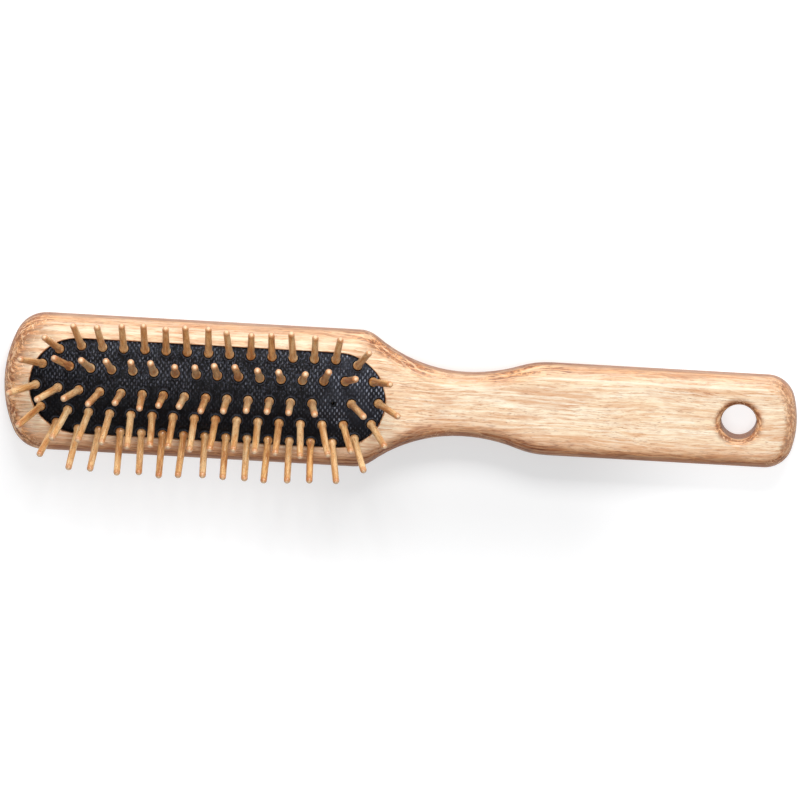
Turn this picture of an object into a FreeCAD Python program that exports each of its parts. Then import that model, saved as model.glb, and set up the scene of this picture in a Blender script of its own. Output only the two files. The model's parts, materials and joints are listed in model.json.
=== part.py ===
import FreeCAD, Part
import math
import os
import random

# Vanity hairbrush: a one-piece beech board with a pneumatic cushion of turned wooden pins.
# Millimetres, +Z out of the pin side, +X towards the handle end, +Y across the board.
# The origin is the centre of the cushion opening, projected on the flat back face.

V = FreeCAD.Vector
UP = V(0, 0, 1)

# ---- board, seen from above --------------------------------------------------------------
LENGTH = 225.0
HEAD_HALF_WIDTH = 19.65
NECK_HALF_WIDTH = 9.1
HANDLE_HALF_WIDTH = 13.25
HEAD_END_RADIUS = 34.0
HEAD_CORNER_RADIUS = 9.3
SHOULDER_RADIUS = 8.5
NECK_HEAD_SIDE_RADIUS = 41.0
NECK_HANDLE_SIDE_RADIUS = 46.0
HANDLE_SHOULDER_RADIUS = 27.0
HANDLE_CORNER_RADIUS = 8.0
HANDLE_END_RADIUS = 27.0
HEAD_END_TO_NECK = 130.65

# ---- board, through its thickness --------------------------------------------------------
BOARD_THICKNESS = 10.0
BOARD_ROUNDOVER = 4.2
HANGING_HOLE_RADIUS = 5.0
HANGING_HOLE_ROUNDOVER = 2.0
HANGING_HOLE_TO_END = 16.4

# ---- opening and pocket for the cushion --------------------------------------------------
HEAD_END_TO_OPENING = 7.4
OPENING_LENGTH = 101.0
OPENING_RADIUS = 13.75
OPENING_EDGE_BREAK = 0.4
POCKET_FLOOR_Z = 4.0
GROOVE_BOTTOM_Z = 5.0
GROOVE_TOP_Z = 6.6
GROOVE_DEPTH = 1.3

# ---- cushion -----------------------------------------------------------------------------
CUSHION_CROWN = 5.9
CUSHION_TOP_RADIUS = 16.0
CUSHION_END_FALL_RADIUS = 62.0
CUSHION_END_FALL_LENGTH = 28.0
CUSHION_SIDE_LEVELLING = 0.5
FACING_THICKNESS = 0.4
RUBBER_THICKNESS = 1.0
SKIRT_THICKNESS = 0.6
BOND_GAP = 0.06
RIM_GAP = 0.15
LIP_GAP = 0.1
VENT_RADIUS = 0.45
VENT_X = 36.0

# ---- pins --------------------------------------------------------------------------------
PIN_LENGTH = 16.5
PIN_RADIUS = 1.0
PIN_TIP_RADIUS = 0.95
COLLAR_RADIUS = 1.28
COLLAR_BOTTOM = 0.14
COLLAR_STRAIGHT_TO = 0.9
COLLAR_FLARE_TO = 2.4
COLLAR_FLARE_HOLLOW = 0.08
PIN_NECK_RADIUS = 0.85
FOOT_RADIUS = 1.25
FOOT_TOP = -1.6
FOOT_THICKNESS = 0.9
PIN_HOLE_GAP = 0.08
PIN_SET_ERROR_DEG = 2.4
PIN_SET_SEED = 11

# ---- pin pattern -------------------------------------------------------------------------
PITCH = 6.0
INNER_ROW_Y = 6.2
OUTER_ROW_Y = 11.75
END_PIN_STEP_DEG = 31.25
PIN_PAST_VENT_X = 41.0

# ---- working values ----------------------------------------------------------------------
SAME_PLACE = 0.01
FACE_COLUMNS = 42
FACE_ROWS = 14
FACE_OVERLAP = 1.0
DRILL_REACH = 3.0

# ---- derived -----------------------------------------------------------------------------
HEAD_END_X = -(HEAD_END_TO_OPENING + OPENING_LENGTH / 2)
HANDLE_END_X = HEAD_END_X + LENGTH
NECK_X = HEAD_END_X + HEAD_END_TO_NECK
HANGING_HOLE_X = HANDLE_END_X - HANGING_HOLE_TO_END
OPENING_STRAIGHT_HALF = OPENING_LENGTH / 2 - OPENING_RADIUS
CUSHION_TOP_Z = BOARD_THICKNESS + CUSHION_CROWN
FACING_RADIUS = OPENING_RADIUS - RIM_GAP
RUBBER_RADIUS = FACING_RADIUS - FACING_THICKNESS - BOND_GAP
AIR_RADIUS = RUBBER_RADIUS - SKIRT_THICKNESS
LIP_RADIUS = OPENING_RADIUS + GROOVE_DEPTH - LIP_GAP


def arc_about(centre, start, end):
    """The short arc from start to end around centre."""
    middle = (start - centre) + (end - centre)
    middle.normalize()
    radius = (start - centre).Length
    return Part.Arc(start, centre + middle * radius, end).toShape()


def towards(centre, other, radius):
    """The point at radius from centre on the line to other; negative radius goes away from it."""
    way = other - centre
    way.normalize()
    return centre + way * radius


def corner_inside(end_centre, end_radius, radius, half_width, side):
    """Centre of a corner arc touching the straight side and, from inside, the end arc."""
    y = half_width - radius
    reach = math.sqrt((end_radius - radius) ** 2 - y ** 2)
    return V(end_centre.x + side * reach, y, 0)


def shoulder_outside(neck_centre, neck_radius, radius, half_width, side):
    """Centre of a convex arc touching the straight side and the hollow arc of the neck."""
    y = half_width - radius
    reach = math.sqrt((neck_radius + radius) ** 2 - (neck_centre.y - y) ** 2)
    return V(neck_centre.x + side * reach, y, 0)


def half_outline():
    """Edges of the +Y half of the board's outline, from the head end to the handle end."""
    head_centre = V(HEAD_END_X + HEAD_END_RADIUS, 0, 0)
    head_corner = corner_inside(head_centre, HEAD_END_RADIUS, HEAD_CORNER_RADIUS, HEAD_HALF_WIDTH, -1)
    head_touch = towards(head_centre, head_corner, HEAD_END_RADIUS)
    side_start = V(head_corner.x, HEAD_HALF_WIDTH, 0)

    neck = V(NECK_X, NECK_HALF_WIDTH, 0)
    neck_a = V(NECK_X, NECK_HALF_WIDTH + NECK_HEAD_SIDE_RADIUS, 0)
    neck_b = V(NECK_X, NECK_HALF_WIDTH + NECK_HANDLE_SIDE_RADIUS, 0)
    shoulder = shoulder_outside(neck_a, NECK_HEAD_SIDE_RADIUS, SHOULDER_RADIUS, HEAD_HALF_WIDTH, -1)
    side_end = V(shoulder.x, HEAD_HALF_WIDTH, 0)
    shoulder_touch = towards(neck_a, shoulder, NECK_HEAD_SIDE_RADIUS)

    flare = shoulder_outside(neck_b, NECK_HANDLE_SIDE_RADIUS, HANDLE_SHOULDER_RADIUS,
                             HANDLE_HALF_WIDTH, 1)
    flare_touch = towards(neck_b, flare, NECK_HANDLE_SIDE_RADIUS)
    grip_start = V(flare.x, HANDLE_HALF_WIDTH, 0)

    tail_centre = V(HANDLE_END_X - HANDLE_END_RADIUS, 0, 0)
    tail_corner = corner_inside(tail_centre, HANDLE_END_RADIUS, HANDLE_CORNER_RADIUS,
                                HANDLE_HALF_WIDTH, 1)
    grip_end = V(tail_corner.x, HANDLE_HALF_WIDTH, 0)
    tail_touch = towards(tail_centre, tail_corner, HANDLE_END_RADIUS)

    return [
        arc_about(head_centre, V(HEAD_END_X, 0, 0), head_touch),
        arc_about(head_corner, head_touch, side_start),
        Part.makeLine(side_start, side_end),
        arc_about(shoulder, side_end, shoulder_touch),
        arc_about(neck_a, shoulder_touch, neck),
        arc_about(neck_b, neck, flare_touch),
        arc_about(flare, flare_touch, grip_start),
        Part.makeLine(grip_start, grip_end),
        arc_about(tail_corner, grip_end, tail_touch),
        arc_about(tail_centre, tail_touch, V(HANDLE_END_X, 0, 0)),
    ]


def flat_edges(solid, z, centre_x, reach_x, reach_y):
    """Edges lying in the plane at height z, no further than the reaches from (centre_x, 0)."""
    found = []
    for edge in solid.Edges:
        box = edge.BoundBox
        level = max(abs(box.ZMin - z), abs(box.ZMax - z)) < SAME_PLACE
        within_x = max(abs(box.XMin - centre_x), abs(box.XMax - centre_x)) < reach_x + SAME_PLACE
        within_y = max(abs(box.YMin), abs(box.YMax)) < reach_y + SAME_PLACE
        if level and within_x and within_y:
            found.append(edge)
    return found


def slot_prism(radius, bottom, top):
    """Prism of the opening's shape: the two end centres stay, only the radius changes."""
    half = OPENING_STRAIGHT_HALF
    left, right = V(-half, 0, bottom), V(half, 0, bottom)
    across, along = V(0, radius, 0), V(radius, 0, 0)
    edges = [
        Part.makeLine(left + across, right + across),
        Part.Arc(right + across, right + along, right - across).toShape(),
        Part.makeLine(right - across, left - across),
        Part.Arc(left - across, left - along, left + across).toShape(),
    ]
    return Part.Face(Part.Wire(edges)).extrude(V(0, 0, top - bottom))


def wooden_body():
    """Head, neck and handle from one board, with the cushion pocket and the hanging hole."""
    half = half_outline()
    other_half = [edge.mirror(V(0, 0, 0), V(0, 1, 0)) for edge in half]
    outline = Part.Wire(Part.__sortEdges__(half + other_half))
    board = Part.Face(outline).extrude(V(0, 0, BOARD_THICKNESS))
    faces_z = (0, BOARD_THICKNESS)
    rims = [edge for z in faces_z for edge in flat_edges(board, z, 0, LENGTH, LENGTH)]
    board = board.makeFillet(BOARD_ROUNDOVER, rims)

    radius = HANGING_HOLE_RADIUS
    board = board.cut(Part.makeCylinder(radius, BOARD_THICKNESS, V(HANGING_HOLE_X, 0, 0)))
    rims = [edge for z in faces_z for edge in flat_edges(board, z, HANGING_HOLE_X, radius, radius)]
    board = board.makeFillet(HANGING_HOLE_ROUNDOVER, rims)

    board = board.cut(slot_prism(OPENING_RADIUS, POCKET_FLOOR_Z, CUSHION_TOP_Z))
    rims = flat_edges(board, BOARD_THICKNESS, 0, OPENING_LENGTH / 2, OPENING_RADIUS)
    board = board.makeFillet(OPENING_EDGE_BREAK, rims)
    groove = slot_prism(OPENING_RADIUS + GROOVE_DEPTH, GROOVE_BOTTOM_Z, GROOVE_TOP_Z)
    return board.cut(groove)


def cushion_height(x, y):
    """Height of the cushion's face: a parabola across, falling away to a level rim at both ends."""
    across = -y ** 2 / (2 * CUSHION_TOP_RADIUS)
    into_fall = max(abs(x) - OPENING_LENGTH / 2 + CUSHION_END_FALL_LENGTH, 0)
    fall = into_fall ** 2 / (2 * CUSHION_END_FALL_RADIUS)
    share = 1 - CUSHION_SIDE_LEVELLING * (y / OPENING_RADIUS) ** 2
    return CUSHION_TOP_Z + across - share * fall


def cushion_normal(x, y):
    """Outward direction square to the cushion's face."""
    step = SAME_PLACE
    slope_x = (cushion_height(x + step, y) - cushion_height(x - step, y)) / (2 * step)
    slope_y = (cushion_height(x, y + step) - cushion_height(x, y - step)) / (2 * step)
    normal = V(-slope_x, -slope_y, 1)
    normal.normalize()
    return normal


def evenly(low, high, steps):
    """Even values from low to high, one more than the number of steps."""
    return [low + (high - low) * i / steps for i in range(steps + 1)]


def under_cushion_face(radius, drop, bottom):
    """Solid of the opening's shape below the cushion face lowered by drop."""
    reach_x = OPENING_LENGTH / 2 + FACE_OVERLAP
    reach_y = OPENING_RADIUS + FACE_OVERLAP
    grid = []
    for x in evenly(-reach_x, reach_x, FACE_COLUMNS):
        grid.append([V(x, y, cushion_height(x, y) - drop) for y in evenly(-reach_y, reach_y, FACE_ROWS)])
    face = Part.BSplineSurface()
    face.interpolate(grid)
    below = face.toShape().extrude(V(0, 0, -2 * CUSHION_TOP_Z))
    return slot_prism(radius, bottom, CUSHION_TOP_Z + FACE_OVERLAP).common(below)


def pin_profile():
    """Half section of a turned pin, standing on the cushion face at height 0."""
    foot_bottom = FOOT_TOP - FOOT_THICKNESS
    flare_middle = V((COLLAR_RADIUS + PIN_RADIUS) / 2 - COLLAR_FLARE_HOLLOW, 0,
                     (COLLAR_STRAIGHT_TO + COLLAR_FLARE_TO) / 2 - COLLAR_FLARE_HOLLOW)
    tip_centre_z = PIN_LENGTH - PIN_TIP_RADIUS
    tip_start = V(PIN_TIP_RADIUS, 0, tip_centre_z)
    tip = V(0, 0, PIN_LENGTH)
    tip_middle = V(PIN_TIP_RADIUS * math.sqrt(0.5), 0, tip_centre_z + PIN_TIP_RADIUS * math.sqrt(0.5))
    corners = [
        tip,
        V(0, 0, foot_bottom),
        V(FOOT_RADIUS, 0, foot_bottom),
        V(FOOT_RADIUS, 0, FOOT_TOP),
        V(PIN_NECK_RADIUS, 0, FOOT_TOP),
        V(PIN_NECK_RADIUS, 0, COLLAR_BOTTOM),
        V(COLLAR_RADIUS, 0, COLLAR_BOTTOM),
        V(COLLAR_RADIUS, 0, COLLAR_STRAIGHT_TO),
    ]
    edges = [Part.makeLine(a, b) for a, b in zip(corners, corners[1:])]
    shaft_start = V(PIN_RADIUS, 0, COLLAR_FLARE_TO)
    edges.append(Part.Arc(corners[-1], flare_middle, shaft_start).toShape())
    edges.append(Part.makeLine(shaft_start, tip_start))
    edges.append(Part.Arc(tip_start, tip_middle, tip).toShape())
    return Part.Face(Part.Wire(edges))


def along(solid, seat, direction):
    """A copy of a solid made along +Z, turned to direction and moved to seat."""
    placed = solid.copy()
    placed.Placement = FreeCAD.Placement(seat, FreeCAD.Rotation(UP, direction))
    return placed


def pin_rows():
    """Names and seats (x, y) of every pin group."""
    rows = (
        ("outer_left", OUTER_ROW_Y, 6, (2, 3, 3, 3, 2)),
        ("inner_left", INNER_ROW_Y, 6.5, (2, 3, 4, 3, 2)),
        ("middle", 0, 7, (2, 3, 3, 3, 2)),
        ("inner_right", -INNER_ROW_Y, 6.5, (2, 3, 4, 3, 2)),
        ("outer_right", -OUTER_ROW_Y, 6, (2, 3, 3, 3, 2)),
    )
    groups = {}
    for row, y, pitches_to_first, sizes in rows:
        x = -pitches_to_first * PITCH
        for number, size in enumerate(sizes, 1):
            groups["pins_%s_%d" % (row, number)] = [(x + i * PITCH, y) for i in range(size)]
            x += size * PITCH
    groups["pin_past_vent"] = [(PIN_PAST_VENT_X, 0)]

    for end, side in (("head_end", -1), ("neck_end", 1)):
        for number, steps in enumerate((-2, -1, 0, 1, 2), 1):
            angle = math.radians(steps * END_PIN_STEP_DEG)
            x = side * (OPENING_STRAIGHT_HALF + OUTER_ROW_Y * math.cos(angle))
            groups["pin_%s_%d" % (end, number)] = [(x, -OUTER_ROW_Y * math.sin(angle))]
    return groups


def set_pins(seats, dice):
    """Where each pin of a group stands and which way it points, with its small setting error."""
    placed = []
    for x, y in seats:
        direction = cushion_normal(x, y)
        for axis in (V(1, 0, 0), V(0, 1, 0)):
            error = dice.uniform(-PIN_SET_ERROR_DEG, PIN_SET_ERROR_DEG)
            direction = FreeCAD.Rotation(axis, error).multVec(direction)
        placed.append((V(x, y, cushion_height(x, y)), direction))
    return placed


def cushion_layers(places):
    """The rubber pad with its gripping lip, and the textile bonded over it, pierced for the pins."""
    facing = under_cushion_face(FACING_RADIUS, 0, GROOVE_TOP_Z)
    facing = facing.cut(under_cushion_face(FACING_RADIUS - FACING_THICKNESS, FACING_THICKNESS, 0))

    rubber_bottom = GROOVE_BOTTOM_Z + LIP_GAP
    rubber_drop = FACING_THICKNESS + BOND_GAP
    rubber = under_cushion_face(RUBBER_RADIUS, rubber_drop, rubber_bottom)
    lip = slot_prism(LIP_RADIUS, rubber_bottom, GROOVE_TOP_Z - LIP_GAP)
    rubber = rubber.fuse(lip)
    rubber = rubber.cut(under_cushion_face(AIR_RADIUS, rubber_drop + RUBBER_THICKNESS, 0))

    def drill(radius, seat, direction):
        return along(Part.makeCylinder(radius, 2 * DRILL_REACH, V(0, 0, -DRILL_REACH)), seat, direction)

    vent_seat = V(VENT_X, 0, cushion_height(VENT_X, 0))
    holes = [drill(VENT_RADIUS, vent_seat, cushion_normal(VENT_X, 0))]
    holes += [drill(PIN_NECK_RADIUS + PIN_HOLE_GAP, seat, direction) for seat, direction in places]
    for hole in holes:
        facing = facing.cut(hole)
        rubber = rubber.cut(hole)
    return facing, rubber


def save(name, shape):
    os.makedirs("parts", exist_ok=True)
    shape.exportStep("parts/%s.step" % name)


def main():
    dice = random.Random(PIN_SET_SEED)
    groups = {name: set_pins(seats, dice) for name, seats in pin_rows().items()}
    places = [place for group in groups.values() for place in group]

    save("wooden_body", wooden_body())
    facing, rubber = cushion_layers(places)
    save("fabric_facing", facing)
    save("rubber_cushion", rubber)

    pin = pin_profile().revolve(V(0, 0, 0), UP, 360)
    for name, group in groups.items():
        save(name, Part.makeCompound([along(pin, seat, direction) for seat, direction in group]))


main()
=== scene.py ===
import json
import math

import bmesh
import bpy
import numpy as np
from mathutils import Matrix, Vector
from mathutils.bvhtree import BVHTree
from mathutils.geometry import delaunay_2d_cdt


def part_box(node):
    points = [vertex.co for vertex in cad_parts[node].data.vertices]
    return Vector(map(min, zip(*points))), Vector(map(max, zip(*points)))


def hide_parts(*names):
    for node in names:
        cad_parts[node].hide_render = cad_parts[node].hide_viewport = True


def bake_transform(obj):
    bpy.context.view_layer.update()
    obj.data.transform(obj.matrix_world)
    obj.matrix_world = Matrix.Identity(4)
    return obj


# Looks for the wooden hairbrush: toasted beech board, turned beech pins, black textile cushion.
# Sizes are in metres; MM turns millimetres into metres.
MM = 0.001

# ---- welding, slopes and steps of the searches along a pin's axis ------------------------
WELD_DECIMALS = 7
FOOT_FACE_DEPTH = 0.02 * MM
SEAT_STEPS = 12
CIRCLE_STEPS = 6
SLOPE_STEP = 0.01 * MM
MERGE_DISTANCE = 1e-7 * MM

# ---- fit of the cushion's face: rays over nearly all of it, and which of them count -------
FIT_COLUMNS, FIT_ROWS = 90, 31
FIT_REACH_X, FIT_REACH_Y = 0.97, 0.95
FIT_RAY_START = 1.0
FIT_FACING_UP = 0.3
FIT_ABOVE_SKIRT = 0.3
FIT_ROUNDS = 4
FIT_CLOSE = 0.08 * MM
STRAIGHT_SHARE = 0.44

# ---- textile facing ----------------------------------------------------------------------
SHEET_THICKNESS = 0.4 * MM
SHEET_STEP = 0.42 * MM
UNDERSIDE_STEP = 1.0 * MM
RIM_STEP = 0.3 * MM
RIM_ROLL = 0.4 * MM
RIM_ROLL_RINGS = 5
SKIRT_RINGS = 4
PIN_HOLE_RADIUS = 0.93 * MM
PIN_RING_POINTS = 44
PIN_RING_RADII = (1.1, 1.26, 1.4, 1.5, 1.58, 1.66, 1.74, 1.83, 1.94, 2.08, 2.28, 2.55)
PIN_CLEAR_RADIUS = 2.8 * MM
GROMMET_RADIUS = 1.68 * MM
GROMMET_WIDTH = 0.2 * MM
GROMMET_HEIGHT = 0.6 * MM
RING_CREST = 1.7 * MM
RING_GAP = 1.36 * MM
DIMPLE_RADIUS = 2.6 * MM
DIMPLE_DEPTH = 0.3 * MM
VENT_X = 36.0 * MM
VENT_POINTS = 5
VENT_OUTER = 1.15 * MM
VENT_INNER = 0.5 * MM
VENT_TORN_RADIUS = 0.78 * MM
VENT_FRAY = 2.5
ARC_SAMPLES = 200

# ---- weave, in millimetres: size of a float's cell, how it tapers, where light is painted on the weave --
WEAVE_ACROSS, WEAVE_ALONG = 0.67, 1.9
FLOAT_TAPER_ACROSS, FLOAT_TAPER_ALONG = 3.2, 3.8
WEAVE_WANDER = ((0.9, 0.9, 0.9), 2.0, (0.25, 0.35, 0))
LIT_NEAR_NECK_X = (26.0, 42.0)
LIT_NEAR_NECK_Y = (-9.0, -2.0)
LIT_UPPER_Y = (-5.0, 9.0)
LINT_SHEEN_Y = (-4.0, 10.0)
# widths of the painted highlight on each ring's crest, and where the painted shade in the gap inside it
# starts
CREST_OUTSIDE, CREST_FULL = 0.26, 0.06
GAP_INSIDE_CREST = 0.1

# ---- cloth simulation of the swell between the pins --------------------------------------
CLOTH_STEP = 1.0 * MM
CLOTH_SCALE = 50.0
CLOTH_FRAMES = 40
CLOTH_PRESSURE = 1.2
CLOTH_SLACK = -0.02
HELD_RIM = 0.9 * MM
HELD_PIN = 1.7 * MM
SWELL_REFINEMENTS = 2
LAST_CELL = 0.9999

# ---- pins: spread of grain and shade; heights above the seat and below the tip, in mm -----
PIN_GRAIN_SPREAD = 50
PIN_SHADE_BETA = (1.6, 1.9)
PIN_HEIGHT = 16.5
FOOT_SHADE_END, FOOT_SHADE_FULL = 1.6, 0.2
TIP_BROWN_FROM, TIP_BROWN_FULL = 1.9, 0.7
TIP_HIGHLIGHT_FROM = 0.25

# ---- noises of the board's grain: scale per millimetre, detail, roughness, distortion ------
BOARD_NOISES = {
    "broad": ((0.018, 0.3, 0.3), 2.0, 0.5, 0.0),
    "band": ((0.035, 0.75, 0.75), 3.0, 0.6, 0.0),
    "streak": ((0.055, 1.7, 1.7), 3.0, 0.6, 0.0),
    "fine": ((0.2, 3.4, 3.4), 3.0, 0.6, 0.0),
    "flecks": ((0.34, 4.0, 4.0), 3.0, 0.55, 0.0),
    "crowd": ((0.06, 0.35, 0.35), 3.0, 0.6, 0.0),
    "mottle": ((0.25, 0.55, 0.55), 5.0, 0.7, 0.0),
    "layers": ((0.05, 0.5, 2.2), 2.0, 0.5, 0.0),
    "scratch": ((1.3, 0.45, 1.1), 3.0, 0.6, 1.4),
}
# ---- broad patches, which don't follow the grain's wander ---------------------------------
PATCH_NOISE = ((0.05, 0.16, 0.16), 3.0, 0.55, 0.0)
# ---- slow sway and quick shake of the grain lines: scale, detail, reach in millimetres -----
GRAIN_SWAY = ((0.022, 0.06, 0.06), 2.0, (0, 5, 5))
GRAIN_SHAKE = ((0.22, 0.9, 0.9), 3.0, (3.0, 0.6, 0.6))

# ---- board's half width along x, in millimetres: head, narrowing to the neck, handle -----
HEAD_HALF_WIDTH = 19.65
NECK_HALF_WIDTH = 9.3
HANDLE_WIDENING = 3.95
NARROWING_FROM, NARROWING_TO = 41.5, 65.5
WIDENING_FROM, WIDENING_TO = 76.0, 97.0

# ---- painted shade in a band along the -Y edge, in millimetres ---------------------------
LOW_BAND_FROM, LOW_BAND_TO = 8.5, 2.0
LOW_BAND_RAGGED = 5.0

# ---- browned band at the head end, and where the handle's end fades, in millimetres -------
HEAD_END_ARC = 34.0
HEAD_END_ARC_X = -23.9
HEAD_BAND_FROM, HEAD_BAND_TO = 8.5, 2.0
HEAD_BAND_FADE = 12
HEAD_BAND_RAGGED = 7.0
HANDLE_END_FROM, HANDLE_END_TO = 130.0, 150.0

# ---- browned ring round the hanging hole, in millimetres ---------------------------------
HOLE_BAND_FROM, HOLE_BAND_TO = 7.8, 6.0
HOLE_BAND_RAGGED = 3.0

# ---- browned flanks on both sides of the neck, wider and with painted shade on the -Y side, in millimetres ---
NECK_X = 71.0
FLANK_FROM, FLANK_FULL = 5.0, 12.0
FLANK_FADE, FLANK_END = 26.0, 38.0
FLANK_WIDTH = 4.6
FLANK_CORE = 0.5
FLANK_WIDER_BELOW = 1.2
FLANK_RAGGED = 4.0
FLANK_LOW_SIDE, FLANK_HIGH_SIDE = -4.0, 2.0
FLANK_RING_STEP = 1.3
FLANK_RING_WAVE = 5.0

# ---- camera and light --------------------------------------------------------------------
CAMERA_TILT_DEG = 12.4
CAMERA_ROLL_DEG = -2.83
CAMERA_YAW_DEG = -1.74
CAMERA_DISTANCE = 2.5
SENSOR_WIDTH = 36.0
FIELD_WIDTH = 226.841 * MM
CAMERA_AIM = Vector((54.54 * MM, 0.1 * MM, 5.0 * MM))
CAMERA_CLIP = (0.1, 20)

FLOOR_HALF = 1.5
FLOOR_DROP = 0.05 * MM
# the floor's glow is painted light, graded by place: lowest near the neck, higher towards the handle end,
# the head and both sides
FLOOR_GLOW = 0.41
FLOOR_GLOW_HANDLE_END = 0.66
FLOOR_GLOW_HANDLE_X = (0.1, 0.15)
FLOOR_GLOW_LIFT = 0.14
FLOOR_LIFTED = (("X", 0.06, 0.0), ("Y", -0.03, -0.06), ("Y", 0.0, 0.02))
SKY_TURN = 0.7
SKY_FROM_PLUS_Y = 0.44
SKY_FROM_MINUS_Y = 0.06
LIGHT_AIM = (0.04, 0, 0)
KEY_PLACE = (0.08, 0.6, 0.46)
KEY_SIZE = (0.5, 0.2)
KEY_POWER = 4.4
OVERHEAD_PLACE = (0.1, -0.03, 0.85)
OVERHEAD_SIZE = (0.5, 0.4)
OVERHEAD_POWER = 3.0

RANDOM_SEED = 5


# ---- pins and cushion face out of the frame ----------------------------------------------
def points_of(obj):
    co = np.empty(len(obj.data.vertices) * 3)
    obj.data.vertices.foreach_get("co", co)
    return co.reshape(-1, 3)


def islands(obj):
    """Lists of vertex indices, one for each separate solid in a node."""
    co = points_of(obj)
    _, same = np.unique(np.round(co, WELD_DECIMALS), axis=0, return_inverse=True)
    same = same.ravel()
    parent = np.arange(same.max() + 1)

    def root(i):
        while parent[i] != i:
            parent[i] = parent[parent[i]]
            i = parent[i]
        return i

    for edge in obj.data.edges:
        a, b = root(same[edge.vertices[0]]), root(same[edge.vertices[1]])
        parent[a] = b
    label = np.array([root(i) for i in same])
    return [np.flatnonzero(label == value) for value in np.unique(label)]


def pin_axis(co):
    """Tip and unit direction of one pin, from the centre of its foot to its tip."""
    spread = co - co.mean(0)
    direction = np.linalg.svd(spread, full_matrices=False)[2][0]
    direction *= np.sign(direction[2])
    height = co @ direction
    tip = co[height.argmax()]
    foot = co[height < height.min() + FOOT_FACE_DEPTH].mean(0)
    direction = (tip - foot) / np.linalg.norm(tip - foot)
    return tip, direction


class CushionFace:
    """Smooth height of the cushion's face, fitted to the top of the CAD facing."""

    def __init__(self, node):
        low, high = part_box(node.name)
        self.half_length = high.x
        self.radius = high.y
        self.spine = high.x - high.y
        tree = BVHTree.FromPolygons([v.co for v in node.data.vertices],
                                    [p.vertices for p in node.data.polygons])
        rows = []
        heights = []
        for x in np.linspace(-FIT_REACH_X, FIT_REACH_X, FIT_COLUMNS) * self.half_length:
            for y in np.linspace(-FIT_REACH_Y, FIT_REACH_Y, FIT_ROWS) * self.radius:
                hit, normal, _, _ = tree.ray_cast(Vector((x, y, FIT_RAY_START)), Vector((0, 0, -1)))
                if hit is None or normal.z < FIT_FACING_UP:
                    continue
                if hit.z > low.z + FIT_ABOVE_SKIRT * (high.z - low.z):
                    rows.append(self.terms(x, y))
                    heights.append(hit.z)
        rows, heights = np.array(rows), np.array(heights)
        self.weights = np.linalg.lstsq(rows, heights, rcond=None)[0]
        for _ in range(FIT_ROUNDS):
            close = np.abs(rows @ self.weights - heights) < FIT_CLOSE
            self.weights = np.linalg.lstsq(rows[close], heights[close], rcond=None)[0]

    def terms(self, x, y):
        """Polynomial terms: a section that is the same along the middle and sinks towards both ends."""
        u = np.maximum(np.abs(x) / self.half_length - STRAIGHT_SHARE, 0)
        v = y / self.radius
        return np.stack([np.ones_like(u + v), v ** 2, v ** 4, v ** 6, v ** 8, u ** 2, u ** 3, u ** 4,
                         u ** 2 * v ** 2, u ** 3 * v ** 2, u ** 2 * v ** 4], axis=-1)

    def height(self, x, y):
        return self.terms(np.asarray(x, float), np.asarray(y, float)) @ self.weights

    def on(self, flat):
        """Points of the face above the given places."""
        return np.column_stack([flat, self.height(flat[:, 0], flat[:, 1])])

    def normal(self, flat):
        """Outward unit normals of the face above the given places."""
        x, y = flat[:, 0], flat[:, 1]
        rise_x = self.height(x + SLOPE_STEP, y) - self.height(x - SLOPE_STEP, y)
        rise_y = self.height(x, y + SLOPE_STEP) - self.height(x, y - SLOPE_STEP)
        slope_x, slope_y = rise_x / (2 * SLOPE_STEP), rise_y / (2 * SLOPE_STEP)
        normals = np.column_stack([-slope_x, -slope_y, np.ones(len(flat))])
        return normals / np.linalg.norm(normals, axis=1)[:, None]

    def seat(self, tip, direction):
        """Where a pin's axis crosses the face."""
        t = (tip[2] - self.height(tip[0], tip[1])) / direction[2]
        for _ in range(SEAT_STEPS):
            p = tip - direction * t
            t += (p[2] - self.height(p[0], p[1])) / direction[2]
        return tip - direction * t


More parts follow.
